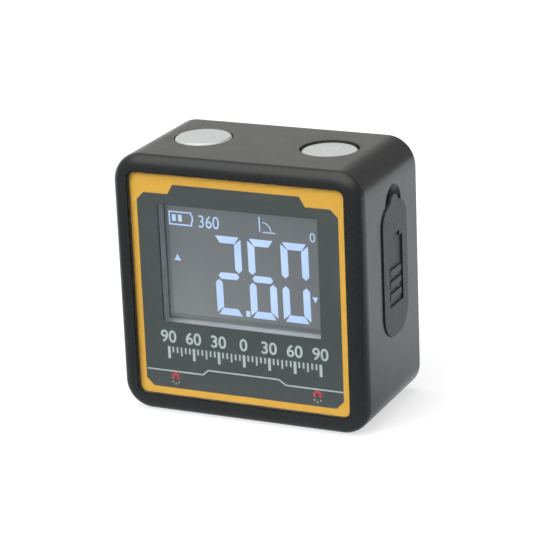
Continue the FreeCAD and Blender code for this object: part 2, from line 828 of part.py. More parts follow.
def battery_cell():
    """A soft pouch with round long edges and a sealed strip along its top."""
    half = battery_half_width
    pouch = block(-half, half, battery_front_y, battery_back_y, battery_bottom_z, battery_top_z)
    upright = [edge for edge in pouch.Edges if edge.BoundBox.ZLength > edge.BoundBox.DiagonalLength / 2]
    pouch = pouch.makeFillet(battery_edge_radius, upright)
    middle = (battery_front_y + battery_back_y) / 2
    terrace = block(-half + battery_edge_radius + terrace_inset, half - battery_edge_radius - terrace_inset,
                    middle - terrace_thickness / 2, middle + terrace_thickness / 2,
                    battery_top_z - overcut, battery_top_z + terrace_height)
    return pouch.fuse(terrace).removeSplitter()


def protector_front_y():
    middle = (battery_front_y + battery_back_y) / 2
    return middle - terrace_thickness / 2 - protector_thickness


def battery_protection_board():
    front = protector_front_y()
    return block(-protector_width / 2, protector_width / 2, front, front + protector_thickness,
                 battery_top_z, battery_top_z + protector_height)


def battery_pad():
    inset = battery_pad_inset
    return block(-battery_half_width + inset, battery_half_width - inset, battery_back_y, cover_inner_y,
                 battery_bottom_z + inset, battery_top_z - inset)


def battery_connector():
    """A socket on the board, open above, where the plug goes in."""
    half = connector_width / 2
    body = block(connector_x - half, connector_x + half, board_back_y, board_back_y + connector_depth,
                 connector_z, connector_z + connector_height)
    inner = half - connector_wall
    return body.cut(block(connector_x - inner, connector_x + inner, board_back_y + connector_wall,
                          board_back_y + connector_depth - connector_wall,
                          connector_z + connector_floor, connector_z + connector_height + overcut))


def plug_top_z():
    return connector_z + connector_height + plug_projection


def battery_plug():
    half = connector_width / 2 - connector_wall - connector_clearance
    inset = connector_wall + connector_clearance
    return block(connector_x - half, connector_x + half, board_back_y + inset,
                 board_back_y + connector_depth - inset, connector_z + connector_floor, plug_top_z())


def battery_leads():
    """Two wires from the battery's small board, forwards and then down into the plug, with mitred bends."""
    start_y = protector_front_y()
    start_z = battery_top_z + protector_height / 2
    end_y = board_back_y + lead_axis_height
    outer_y = end_y - lead_radius
    outer_z = start_z + lead_radius
    reach = start_y - outer_y
    wires = []
    for side in (-1, 1):
        x = connector_x + side * lead_spacing / 2
        level = rod(lead_radius, (x, outer_y, start_z), (0, 1, 0), reach)
        drop = rod(lead_radius, (x, end_y, plug_top_z()), (0, 0, 1), outer_z - plug_top_z())
        corner = [FreeCAD.Vector(x - lead_radius, outer_y, outer_z),
                  FreeCAD.Vector(x - lead_radius, start_y, outer_z),
                  FreeCAD.Vector(x - lead_radius, start_y, outer_z - reach)]
        above = Part.Face(Part.makePolygon(corner + corner[:1])).extrude(
            FreeCAD.Vector(2 * lead_radius, 0, 0))
        wires.append(level.common(above).fuse(drop.cut(above)))
    return Part.makeCompound(wires)


def all_nodes():
    return {
        "housing": housing(),
        "rear_cover": rear_cover(),
        "rear_cover_screws": rear_cover_screws(),
        "front_lens": front_lens(),
        "lens_border_print": lens_border_print(),
        "lens_panel_print": lens_panel_print(),
        "lens_tape": lens_tape(),
        "display_gasket": display_gasket(),
        "lcd_polarizer_front": lcd_polarizer(display_front_y),
        "lcd_cell": lcd_cell(),
        "lcd_polarizer_rear": lcd_polarizer(glass_back_y),
        "lcd_diffuser": lcd_diffuser(),
        "lcd_light_guide": lcd_light_guide(),
        "lcd_backlight_leds": lcd_backlight_leds(),
        "lcd_frame": lcd_frame(),
        "lcd_pins": lcd_pins(),
        "main_board": main_board(),
        "board_screws": board_screws(),
        "microcontroller": microcontroller(),
        "tilt_sensor": on_board(0, sensor_z, sensor_size, sensor_size, sensor_thickness),
        "charger_chip": on_board(charger_x, port_z, charger_width, charger_height, charger_thickness),
        "board_components": board_components(),
        "usb_socket_shell": usb_socket_shell(),
        "usb_socket_tongue": usb_socket_tongue(),
        "battery_cell": battery_cell(),
        "battery_protection_board": battery_protection_board(),
        "battery_pad": battery_pad(),
        "battery_leads": battery_leads(),
        "battery_plug": battery_plug(),
        "battery_connector": battery_connector(),
        "power_switch_body": switch_body(-1),
        "power_switch_plunger": switch_plunger(-1),
        "zero_switch_body": switch_body(1),
        "zero_switch_plunger": switch_plunger(1),
        "power_button": button_cap(-1, power_button_rise),
        "zero_button": button_cap(1, zero_button_rise),
        "base_magnet_left": base_magnet(-1),
        "base_magnet_right": base_magnet(1),
        "port_flap": port_flap(),
        "flap_anchor": flap_anchor(),
    }


os.makedirs("parts", exist_ok=True)
for name, shape in all_nodes().items():
    shape.exportStep("parts/" + name + ".step")
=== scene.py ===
import bpy
import math
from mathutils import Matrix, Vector


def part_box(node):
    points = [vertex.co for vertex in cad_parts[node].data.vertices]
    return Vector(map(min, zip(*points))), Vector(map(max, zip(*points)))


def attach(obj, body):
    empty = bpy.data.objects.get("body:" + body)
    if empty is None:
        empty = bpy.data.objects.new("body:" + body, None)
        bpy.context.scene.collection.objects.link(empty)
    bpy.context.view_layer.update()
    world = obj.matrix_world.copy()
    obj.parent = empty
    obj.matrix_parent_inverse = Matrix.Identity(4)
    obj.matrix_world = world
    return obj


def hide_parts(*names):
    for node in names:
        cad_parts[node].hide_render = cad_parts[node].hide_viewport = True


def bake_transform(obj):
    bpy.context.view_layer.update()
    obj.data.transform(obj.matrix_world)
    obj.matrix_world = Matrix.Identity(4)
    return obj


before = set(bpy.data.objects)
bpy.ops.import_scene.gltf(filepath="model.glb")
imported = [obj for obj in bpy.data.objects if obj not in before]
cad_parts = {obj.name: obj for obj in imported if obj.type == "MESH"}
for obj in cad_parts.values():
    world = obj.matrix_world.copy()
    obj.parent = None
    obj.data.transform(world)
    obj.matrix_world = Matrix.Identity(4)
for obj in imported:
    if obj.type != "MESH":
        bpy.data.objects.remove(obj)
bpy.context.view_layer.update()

# Lengths below are in millimetres, times mm where a call wants metres.
# The front faces -Y, the port flap is on the +X side, and Z is up from the resting face.
mm = 0.001

# Faces that the marks and prints sit on, read from the frame
window_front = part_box("front_lens")[0].y / mm
ink_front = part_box("lens_panel_print")[0].y / mm
display_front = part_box("lcd_polarizer_front")[0].y / mm
flap_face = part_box("port_flap")[1].x / mm

# A printed mark's thickness, and the air between the window's ink and the clear plate in front of it
print_thickness = 0.012
lens_air_gap = 0.03
# The height of the mould's parting line on the housing, and the panel's middle, a little to the right
witness_height = 46.4
panel_middle = 0.35


# Selecting and working on one object, as by hand

def only(piece):
    """Makes one object the active and only selected one."""
    bpy.ops.object.select_all(action="DESELECT")
    piece.select_set(True)
    bpy.context.view_layer.objects.active = piece


def edit_all(piece):
    """Enters edit mode with the whole mesh selected."""
    only(piece)
    bpy.ops.object.mode_set(mode="EDIT")
    bpy.ops.mesh.select_all(action="SELECT")


def leave_edit():
    bpy.ops.object.mode_set(mode="OBJECT")


def pick_faces(piece, test):
    """Enters edit mode with only the faces selected whose middle and normal pass the test."""
    edit_all(piece)
    bpy.ops.mesh.select_mode(type="FACE")
    bpy.ops.mesh.select_all(action="DESELECT")
    leave_edit()
    for face in piece.data.polygons:
        face.select = test(face.center / mm, face.normal)
    bpy.ops.object.mode_set(mode="EDIT")


def pick_edges(piece, test):
    """Enters edit mode with only the edges selected whose two ends pass the test."""
    edit_all(piece)
    bpy.ops.mesh.select_mode(type="EDGE")
    bpy.ops.mesh.select_all(action="DESELECT")
    leave_edit()
    points = piece.data.vertices
    for edge in piece.data.edges:
        first, second = (points[index].co / mm for index in edge.vertices)
        edge.select = test(first, second)
    bpy.ops.object.mode_set(mode="EDIT")


def settle(piece):
    """Moves an object's place, turn and size into its mesh."""
    only(piece)
    bpy.ops.object.transform_apply(location=True, rotation=True, scale=True)


def apply_modifier(piece, kind, **settings):
    """Adds a modifier with its settings, and makes its result the mesh."""
    modifier = piece.modifiers.new(kind.title(), kind)
    for name, value in settings.items():
        setattr(modifier, name, value)
    only(piece)
    bpy.ops.object.modifier_apply(modifier=modifier.name)


def shade(piece):
    """Shades smooth across all but sharp edges, with large faces kept flat."""
    only(piece)
    bpy.ops.object.shade_smooth_by_angle(angle=math.radians(32))
    apply_modifier(piece, "WEIGHTED_NORMAL", keep_sharp=True, weight=100)


def soften(piece, width):
    """Rounds the sharp edges, and shades the rest smooth."""
    apply_modifier(piece, "BEVEL", width=width * mm, segments=2, limit_method="ANGLE",
                   angle_limit=math.radians(35), miter_outer="MITER_ARC", harden_normals=False)
    shade(piece)


def copy_of(node, name):
    """A loose copy of a CAD node's mesh, with its triangles joined into whole faces."""
    piece = bpy.data.objects.new(name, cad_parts[node].data.copy())
    bpy.context.scene.collection.objects.link(piece)
    only(piece)
    bpy.ops.mesh.customdata_custom_splitnormals_clear()
    edit_all(piece)
    bpy.ops.mesh.remove_doubles(threshold=0.0005 * mm)
    bpy.ops.mesh.dissolve_limited(angle_limit=math.radians(0.4))
    leave_edit()
    return piece


def carry(piece, body, material_slot, material, *stands_for):
    """Gives a piece its finish and its body, and hides the CAD nodes that it stands for."""
    piece.data.materials.clear()
    piece.data.materials.append(material)
    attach(piece, body)
    if stands_for:
        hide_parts(*stands_for)
    return piece


# Flat marks, drawn as outlines of x and z

def flat_mark(name, outlines, back, thickness=print_thickness):
    """A thin cut-out that faces the front, with its back on the plane y = back."""
    curve = bpy.data.curves.new(name, "CURVE")
    curve.dimensions = "2D"
    curve.fill_mode = "BOTH"
    curve.extrude = thickness * mm / 2
    for outline in outlines:
        spline = curve.splines.new("POLY")
        spline.points.add(len(outline) - 1)
        spline.use_cyclic_u = True
        for point, (x, z) in zip(spline.points, outline):
            point.co = (x * mm, z * mm, 0, 1)
    piece = bpy.data.objects.new(name, curve)
    bpy.context.scene.collection.objects.link(piece)
    only(piece)
    bpy.ops.object.convert(target="MESH")
    piece.rotation_euler = (math.pi / 2, 0, 0)
    piece.location = (0, (back - thickness / 2) * mm, 0)
    settle(piece)
    return piece


def band(points, width):
    """The outline of a line of even width along open points, with mitred corners."""
    left, right = [], []
    for index, (x, z) in enumerate(points):
        before = Vector(points[max(index - 1, 0)])
        after = Vector(points[min(index + 1, len(points) - 1)])
        here = Vector((x, z))
        into = (here - before).normalized() if index else (after - here).normalized()
        out = (after - here).normalized() if index < len(points) - 1 else into
        across = Vector((-(into + out).y, (into + out).x)).normalized()
        reach = width / 2 / max(0.3, across.dot(Vector((-into.y, into.x))))
        left.append(tuple(here + across * reach))
        right.append(tuple(here - across * reach))
    return left + right[::-1]


def ring_points(x, z, radius_x, radius_z, start=0, end=360, steps=40):
    """Points along an ellipse or a stretch of it, by its middle, radii and degrees."""
    turns = [math.radians(start + (end - start) * step / steps) for step in range(steps + 1)]
    return [(x + radius_x * math.cos(turn), z + radius_z * math.sin(turn)) for turn in turns]


def rectangle(x0, x1, z0, z1):
    return [(x0, z0), (x1, z0), (x1, z1), (x0, z1)]


def rounded_rectangle(x0, x1, z0, z1, radius):
    """A rectangle with eight steps to each corner's arc."""
    corners = ((x1 - radius, z1 - radius, 0), (x0 + radius, z1 - radius, 90),
               (x0 + radius, z0 + radius, 180), (x1 - radius, z0 + radius, 270))
    return [point for x, z, turn in corners
            for point in ring_points(x, z, radius, radius, turn, turn + 90, 8)]


def text_mark(name, words, x, z, height, back, boldness=0.0, width_share=1.0):
    """Plain characters of a height that face the front, centred on x, standing on z."""
    curve = bpy.data.curves.new(name, "FONT")
    curve.body = words
    curve.align_x = "CENTER"
    height_share = 0.73
    curve.size = height / height_share * mm
    curve.offset = boldness * mm
    curve.extrude = print_thickness * mm / 2
    piece = bpy.data.objects.new(name, curve)
    bpy.context.scene.collection.objects.link(piece)
    only(piece)
    bpy.ops.object.convert(target="MESH")
    piece.scale = (width_share, 1, 1)
    piece.rotation_euler = (math.pi / 2, 0, 0)
    piece.location = (x * mm, (back - print_thickness / 2) * mm, z * mm)
    settle(piece)
    return piece


def join(name, pieces):
    """Joins several objects into one under a new name."""
    bpy.ops.object.select_all(action="DESELECT")
    for piece in pieces:
        piece.select_set(True)
    bpy.context.view_layer.objects.active = pieces[0]
    bpy.ops.object.join()
    pieces[0].name = name
    return pieces[0]


# Materials

class Nodes:
    """A node tree, with short ways to add nodes to it. A term is another node's output or a number."""

    def __init__(self, tree):
        self.tree = tree

    def node(self, kind, **values):
        made = self.tree.nodes.new(kind)
        for name, value in values.items():
            setattr(made, name, value)
        return made

    def link(self, output, node, socket):
        self.tree.links.new(output, node.inputs[socket])

    def feed(self, term, node, socket):
        if isinstance(term, (int, float)):
            node.inputs[socket].default_value = term
        else:
            self.link(term, node, socket)

    def along(self, place, axis):
        """One of a place's X, Y and Z."""
        made = self.node("ShaderNodeSeparateXYZ")
        self.link(place, made, "Vector")
        return made.outputs[axis]

    def maths(self, operation, first, second):
        made = self.node("ShaderNodeMath", operation=operation)
        self.feed(first, made, 0)
        self.feed(second, made, 1)
        return made.outputs["Value"]

    def span(self, value, low, high, from_low=0.3, from_high=0.7, kind="LINEAR"):
        """Runs from low to high while the value runs from from_low to from_high."""
        made = self.node("ShaderNodeMapRange", interpolation_type=kind)
        for socket, number in (("From Min", from_low), ("From Max", from_high),
                               ("To Min", low), ("To Max", high)):
            made.inputs[socket].default_value = number
        self.link(value, made, "Value")
        return made.outputs["Result"]

    def glow(self, kind, colour, strength):
        """An emission or background shader."""
        made = self.node(kind)
        made.inputs["Color"].default_value = (*colour, 1)
        self.feed(strength, made, "Strength")
        return made.outputs[0]

    def choose(self, fact, otherwise, then):
        """The second shader where the fact is 1, or else the first."""
        made = self.node("ShaderNodeMixShader")
        self.link(fact, made, "Fac")
        self.link(otherwise, made, 1)
        self.link(then, made, 2)
        return made.outputs[0]


class Finish(Nodes):
    """A material with its principled shader, and patterns that read object coordinates."""

    def __init__(self, name, colour, roughness, **settings):
        self.material = bpy.data.materials.new(name)
        self.material.use_nodes = True
        super().__init__(self.material.node_tree)
        self.shader = self.tree.nodes["Principled BSDF"]
        self.place = self.node("ShaderNodeTexCoord").outputs["Object"]
        self.colour = colour
        self.shader.inputs["Base Color"].default_value = (*colour, 1)
        self.shader.inputs["Roughness"].default_value = roughness
        for socket, value in settings.items():
            self.shader.inputs[socket.replace("_", " ")].default_value = value
        self.normal = None

    def noise(self, size, detail=3, roughness=0.55):
        """Noise whose lumps are about size millimetres across."""
        made = self.node("ShaderNodeTexNoise")
        made.inputs["Scale"].default_value = 1 / (size * mm)
        made.inputs["Detail"].default_value = detail
        made.inputs["Roughness"].default_value = roughness
        self.link(self.place, made, "Vector")
        return made.outputs["Fac"]

    def ramp(self, value, stops):
        """Colours from value, as (place, colour) stops."""
        made = self.node("ShaderNodeValToRGB")
        first, last = made.color_ramp.elements
        first.position, first.color = stops[0][0], (*stops[0][1], 1)
        last.position, last.color = stops[-1][0], (*stops[-1][1], 1)
        for place, colour in stops[1:-1]:
            made.color_ramp.elements.new(place).color = (*colour, 1)
        self.link(value, made, "Fac")
        return made.outputs["Color"]

    def shift(self, size, spread):
        """Base colour that drifts by spread either way, in lumps of size millimetres."""
        dark = tuple(part * (1 - spread) for part in self.colour)
        light = tuple(min(1, part * (1 + spread)) for part in self.colour)
        self.link(self.ramp(self.noise(size), [(0.3, dark), (0.7, light)]), self.shader, "Base Color")

    def gloss(self, size, low, high, detail=4):
        """Roughness that drifts from low to high, in lumps of size millimetres."""
        self.link(self.span(self.noise(size, detail), low, high), self.shader, "Roughness")

    def bump(self, height, depth, strength):
        """Adds a bump of depth millimetres from a height of 0 to 1, over any earlier one."""
        made = self.node("ShaderNodeBump")
        made.inputs["Distance"].default_value = depth * mm
        made.inputs["Strength"].default_value = strength
        self.link(height, made, "Height")
        if self.normal:
            self.link(self.normal, made, "Normal")
        self.normal = made.outputs["Normal"]
        self.link(self.normal, self.shader, "Normal")


black_plastic = (0.0175, 0.019, 0.0195)


def housing_plastic():
    """Black moulded plastic: fine spark grain, faint scuffs and the mould's witness line."""
    finish = Finish("housing_plastic", black_plastic, 0.27, IOR=1.58)
    finish.shift(0.5, 0.12)
    finish.gloss(5.0, 0.25, 0.3, 6)
    finish.bump(finish.noise(0.12, 3, 0.6), 0.003, 0.25)
    above_line = finish.maths("SUBTRACT", finish.along(finish.place, "Z"), witness_height * mm)
    line = finish.span(finish.maths("ABSOLUTE", above_line, 0), 1.0, 0.0, 0.02 * mm, 0.09 * mm)
    finish.bump(line, 0.03, 0.8)
    return finish.material


def cover_plastic():
    """The rear cover's plastic, a little duller and coarser."""
    finish = Finish("cover_plastic", black_plastic, 0.34, IOR=1.56)
    finish.shift(0.6, 0.15)
    finish.gloss(4.0, 0.31, 0.38, 6)
    finish.bump(finish.noise(0.15, 4, 0.6), 0.007, 0.5)
    return finish.material


def clear_acrylic():
    """The window: clear, with a trace of haze in its gloss."""
    finish = Finish("clear_acrylic", (0.97, 0.985, 0.98), 0.02, Transmission_Weight=1.0, IOR=1.49)
    finish.gloss(4.0, 0.005, 0.03)
    finish.bump(finish.noise(9.0, 1), 0.002, 0.1)
    return finish.material


def printed_ink(name, colour, roughness=0.4):
    """Screen ink: a trace of unevenness in tone and thickness."""
    finish = Finish(name, colour, roughness, IOR=1.4)
    finish.shift(1.6, 0.035)
    finish.gloss(0.8, roughness - 0.06, roughness + 0.06)
    finish.bump(finish.noise(0.12, 2), 0.003, 0.4)
    return finish.material


def display_film():
    """The dark display, lit faintly from behind, more so low on the left, and less outside its field."""
    finish = Finish("display_film", (0.03, 0.032, 0.034), 0.32, IOR=1.45)
    x, z = finish.along(finish.place, "X"), finish.along(finish.place, "Z")
    across = finish.span(x, 1.0, 0.0, -16 * mm, 17 * mm)
    down = finish.span(z, 1.0, 0.0, 19 * mm, 43 * mm)
    patchy = finish.maths("MULTIPLY", finish.noise(7.0, 2), 0.28)
    level = finish.maths("ADD", finish.maths("MULTIPLY", across, down), patchy)
    glow = finish.ramp(level, [(0.0, (0.115, 0.125, 0.138)), (0.5, (0.15, 0.165, 0.175)),
                               (1.0, (0.2, 0.212, 0.215))])
    finish.link(glow, finish.shader, "Emission Color")
    field_left, field_bottom, edge_width = -16.3, 19.2, 0.15
    inside_x = finish.span(x, 0.0, 1.0, field_left * mm, (field_left + edge_width) * mm)
    inside_z = finish.span(z, 0.0, 1.0, field_bottom * mm, (field_bottom + edge_width) * mm)
    inside = finish.maths("MULTIPLY", inside_x, inside_z)
    level_outside = 0.72
    finish.link(finish.span(inside, level_outside, 1.0, 0.0, 1.0), finish.shader, "Emission Strength")
    finish.gloss(2.0, 0.28, 0.36)
    return finish.material


def lit_segment():
    """Open segments of the display, with the light behind them brighter in lumps about 5 mm across."""
    finish = Finish("lit_segment", (0.1, 0.11, 0.12), 0.35)
    glow = finish.ramp(finish.noise(5.0, 2), [(0.3, (0.41, 0.58, 0.93)), (0.7, (0.5, 0.67, 0.97))])
    finish.link(glow, finish.shader, "Emission Color")
    finish.shader.inputs["Emission Strength"].default_value = 1.0
    return finish.material


def silver_paint():
    """Satin silver paint on the button caps: metal flakes under a thin clear layer."""
    finish = Finish("silver_cap", (0.56, 0.585, 0.58), 0.38, Metallic=0.35, Coat_Weight=0.15,
                    Coat_Roughness=0.25)
    finish.shift(0.5, 0.05)
    finish.gloss(0.35, 0.33, 0.46)
    finish.bump(finish.noise(0.09, 2), 0.004, 0.5)
    return finish.material


def flap_rubber():
    """Dull black rubber with a fine matt skin and a little dust in it."""
    finish = Finish("flap_rubber", (0.023, 0.026, 0.027), 0.52, IOR=1.54, Sheen_Weight=0.1,
                    Sheen_Roughness=0.5)
    finish.shift(0.9, 0.22)
    finish.gloss(0.6, 0.46, 0.58)
    finish.bump(finish.noise(0.16, 4, 0.65), 0.010, 0.6)
    return finish.material


def foam(name, colour):
    """Closed-cell foam: small round cells."""
    finish = Finish(name, colour, 0.85, IOR=1.4)
    cells = finish.node("ShaderNodeTexVoronoi")
    cells.inputs["Scale"].default_value = 1 / (0.25 * mm)
    finish.link(finish.place, cells, "Vector")
    finish.shift(0.8, 0.15)
    finish.bump(cells.outputs["Distance"], 0.05, 0.6)
    return finish.material


def metal(name, colour, roughness, brushed=None):
    """Plated metal, with fine lines along one axis if it is brushed."""
    finish = Finish(name, colour, roughness, Metallic=1.0)
    finish.shift(1.0, 0.06)
    if brushed:
        lines = finish.node("ShaderNodeMapping")
        finish.link(finish.place, lines, "Vector")
        lines.inputs["Scale"].default_value = brushed
        streak = finish.node("ShaderNodeTexNoise")
        streak.inputs["Scale"].default_value = 1 / (0.1 * mm)
        finish.link(lines.outputs["Vector"], streak, "Vector")
        finish.link(finish.span(streak.outputs["Fac"], roughness * 0.7, roughness * 1.4),
                    finish.shader, "Roughness")
        finish.bump(streak.outputs["Fac"], 0.003, 0.5)
    else:
        finish.gloss(0.5, roughness * 0.75, roughness * 1.3)
        finish.bump(finish.noise(0.12, 3), 0.003, 0.4)
    return finish.material


def moulded(name, colour, roughness):
    """Small moulded or coated parts inside the body."""
    finish = Finish(name, colour, roughness, IOR=1.48)
    finish.shift(1.5, 0.1)
    finish.gloss(0.9, roughness * 0.85, roughness * 1.15)
    finish.bump(finish.noise(0.3), 0.01, 0.5)
    return finish.material


def clear_sheet(name, colour, roughness):
    """The thin clear layers of the display."""
    finish = Finish(name, colour, roughness, Transmission_Weight=0.8, IOR=1.5)
    finish.gloss(2.0, roughness, roughness + 0.08)
    finish.bump(finish.noise(0.6, 2), 0.004, 0.3)
    return finish.material


def board_laminate():
    """Green lacquer over glass cloth, with the weave showing through."""
    finish = Finish("board_laminate", (0.012, 0.09, 0.035), 0.32, Coat_Weight=0.4)
    finish.shift(2.0, 0.2)
    weave = finish.node("ShaderNodeTexWave", wave_type="BANDS", bands_direction="X")
    weave.inputs["Scale"].default_value = 1 / (2.5 * mm)
    finish.link(finish.place, weave, "Vector")
    finish.bump(weave.outputs["Fac"], 0.008, 0.3)
    finish.bump(finish.noise(0.4, 3), 0.008, 0.4)
    return finish.material


# The body and its caps

def round_off(node, name, radius, material_slot, material):
    """Puts a copy of a CAD piece in its place, with its sharp edges rounded by a radius."""
    piece = copy_of(node, name)
    soften(piece, radius)
    carry(piece, "case", material_slot, material, node)


def power_sign():
    """A ring that is open at the top, with a bar in the gap, about its own middle."""
    radius, stroke, half_gap = 2.7, 0.5, 32
    ring = band(ring_points(0, 0, radius, radius, 90 + half_gap, 450 - half_gap), stroke)
    return [ring, rectangle(-stroke / 2, stroke / 2, 0.6, 3.3)]


def zero_sign():
    """A nought, about its own middle."""
    half_width, half_height, stroke = 1.5, 2.2, 0.5
    return [ring_points(0, 0, half_width, half_height)[:-1],
            ring_points(0, 0, half_width - stroke, half_height - stroke)[:-1]]


def make_cap(which, outlines, material, print_material):
    """A cap with a soft rim, and a faint sign sunk into its top."""
    node, key = which + "_button", which + "_key"
    cap = copy_of(node, which + "_cap")
    soften(cap, 0.14)
    low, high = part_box(node)
    middle = (low + high) / 2 / mm
    sink_sign(cap, which + "_sign", key, outlines, (middle.x, middle.y, high.z / mm), print_material)
    carry(cap, key, "silver_cap", material, node)


def sink_sign(cap, name, key, outlines, place, print_material):
    """Cuts a sign into a cap's top and lays a thin print on the bottom of the cut."""
    depth = 0.06
    x, y, top = place
    cutter = flat_mark("sign_cutter", outlines, 0, 2 * depth)
    lay_on_top(cutter, x, y, top - depth)
    apply_modifier(cap, "BOOLEAN", operation="DIFFERENCE", object=cutter, solver="EXACT")
    bpy.data.objects.remove(cutter)
    only(cap)
    bpy.ops.mesh.customdata_custom_splitnormals_clear()
    shade(cap)
    sign = flat_mark(name, outlines, 0, depth / 2)
    lay_on_top(sign, x, y, top - depth)
    carry(sign, key, "silver_cap", print_material)


def lay_on_top(mark, x, y, top):
    """Turns a mark that faces the front so that it faces up, with its underside on z = top."""
    mark.rotation_euler = (-math.pi / 2, 0, 0)
    settle(mark)
    mark.location = (x * mm, y * mm, top * mm)
    settle(mark)


# The window and its prints

def make_window(material, edge_paint):
    """The clear plate, just clear of its ink, with rounded corners, a fine bevel and a blackened edge."""
    corner_radius, bevel = 1.6, 0.04
    edge_inset, edge_width = 0.01, 0.07
    low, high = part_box("front_lens")
    front, back = low.y / mm, ink_front - print_thickness - lens_air_gap
    bpy.ops.object.select_all(action="DESELECT")
    bpy.ops.mesh.primitive_cube_add(size=1, location=((low.x + high.x) / 2, (front + back) / 2 * mm,
                                                      (low.z + high.z) / 2))
    window = bpy.context.object
    window.name = "window_plate"
    window.scale = (high.x - low.x, (back - front) * mm, high.z - low.z)
    settle(window)
    pick_edges(window, lambda first, second: abs(first.y - second.y) > 0.5)
    bpy.ops.mesh.bevel(offset=corner_radius * mm, segments=8)
    leave_edit()
    pick_edges(window, lambda first, second: max(abs(first.y - front), abs(second.y - front)) < 0.01)
    bpy.ops.mesh.bevel(offset=bevel * mm, segments=1)
    leave_edit()
    only(window)
    bpy.ops.object.shade_smooth_by_angle(angle=math.radians(14))
    window.visible_shadow = False
    carry(window, "case", "clear_acrylic", material, "front_lens")

    outlines = [rounded_rectangle(low.x / mm + inset, high.x / mm - inset, low.z / mm + inset,
                                  high.z / mm - inset, corner_radius - inset)
                for inset in (edge_inset, edge_inset + edge_width)]
    edge = flat_mark("window_edge", outlines, back, back - front - 1.5 * bevel)
    carry(edge, "case", "dark_ink", edge_paint)


def degree_scale():
    """Numbers every 30 degrees to either side of nought, over a tick every 5 degrees."""
    numbers = (90, 60, 30, 0, 30, 60, 90)
    intervals = len(numbers) - 1
    number_step, number_foot, number_height, boldness = 5.35, 14.6, 2.5, 0.055
    marks = []
    for index, number in enumerate(numbers):
        x = panel_middle + (index - intervals / 2) * number_step
        marks.append(text_mark("number", str(number), x, number_foot, number_height, ink_front, boldness))
    tick_top = 13.7
    long_every, middle_every = 6, 3
    steps = intervals * long_every
    outlines = []
    for step in range(steps + 1):
        x = panel_middle + (step / steps - 0.5) * intervals * number_step
        length = 2.5 if step % long_every == 0 else 1.8 if step % middle_every == 0 else 1.2
        width = 0.56 if step % long_every == 0 else 0.34
        outlines.append(rectangle(x - width / 2, x + width / 2, tick_top - length, tick_top))
    marks.append(flat_mark("ticks", outlines, ink_front))
    return join("degree_scale", marks)


def make_panel_marks(pale, red, white):
    """What is printed on the dark panel: a degree scale, the line below it and two magnet signs."""
    carry(degree_scale(), "case", "dark_ink", pale)
    line = [(-20.7, 8.6), (-8.6, 8.6), (-7.5, 9.6), (7.5, 9.6), (9.0, 8.6), (20.9, 8.6)]
    carry(flat_mark("panel_line", [band(line, 0.27)], ink_front), "case", "dark_ink", pale)

    bow_radius, bow_middle, bow_foot, bow_stroke = 0.6, 7.5, 6.95, 0.5
    for side, x in (("left", -14.6), ("right", 15.5)):
        bow = ([(x - bow_radius, bow_foot)] + ring_points(x, bow_middle, bow_radius, bow_radius, 180, 0, 16)
               + [(x + bow_radius, bow_foot)])
        magnet = flat_mark("magnet_sign_" + side, [band(bow, bow_stroke)], ink_front)
        carry(magnet, "case", "dark_ink", red)
        dots = [ring_points(x + aside, z, 0.13, 0.13, 0, 360, 10)[:-1]
                for aside, z in ((-0.65, 6.35), (0, 6.0), (0.65, 6.35))]
        carry(flat_mark("magnet_dots_" + side, dots, ink_front), "case", "dark_ink", white)


# The display

# It lies behind the window, so a mark on it is moved along the camera's line of sight through
# the clear plate, which makes the display look nearer by glass_lift. The figures lean a little.
sight_slope_x = 0.473
sight_slope_z = 0.375
glass_lift = 0.4
lean = 0.013
upright_height = 30


def on_display(x, z):
    """Where a mark lies on the display that the camera sees at x and z in the window's front plane."""
    depth = display_front - window_front - glass_lift
    return x - sight_slope_x * depth + lean * (upright_height - z), z - sight_slope_z * depth


def digit(segments, x0, x1, z0, z1):
    """The outlines of a seven-segment digit in a box: a to f clockwise from the top, and g in the middle."""
    thick, level_thick = 1.45, 1.42
    level_gap, upright_gap = 0.38, 0.4
    level_slant, upright_slant = 0.96, 1.25
    middle = (z0 + z1) / 2 - 0.03
    half, middle_slant = 0.66, 1.2
    tip_gap, shoulder = 0.75, 0.65
    shapes = {"g": [(x0 + half, middle), (x0 + middle_slant, middle + half),
                    (x1 - middle_slant, middle + half), (x1 - half, middle),
                    (x1 - middle_slant, middle - half), (x0 + middle_slant, middle - half)]}
    for name, end, sign in (("a", z1, 1), ("d", z0, -1)):
        inner = end - sign * level_thick
        shapes[name] = [(x0 + level_gap, end), (x1 - level_gap, end), (x1 - level_gap - level_slant, inner),
                        (x0 + level_gap + level_slant, inner)]
    for name, outer, inner, end, sign in (("f", x0, x0 + thick, z1, 1), ("b", x1, x1 - thick, z1, 1),
                                          ("e", x0, x0 + thick, z0, -1), ("c", x1, x1 - thick, z0, -1)):
        tip = middle + sign * tip_gap
        neck = tip + sign * shoulder
        shapes[name] = [(outer, end - sign * upright_gap),
                        (inner, end - sign * (upright_gap + upright_slant)),
                        (inner, neck), ((outer + inner) / 2, tip), (outer, neck)]
    return [shapes[name] for name in segments]


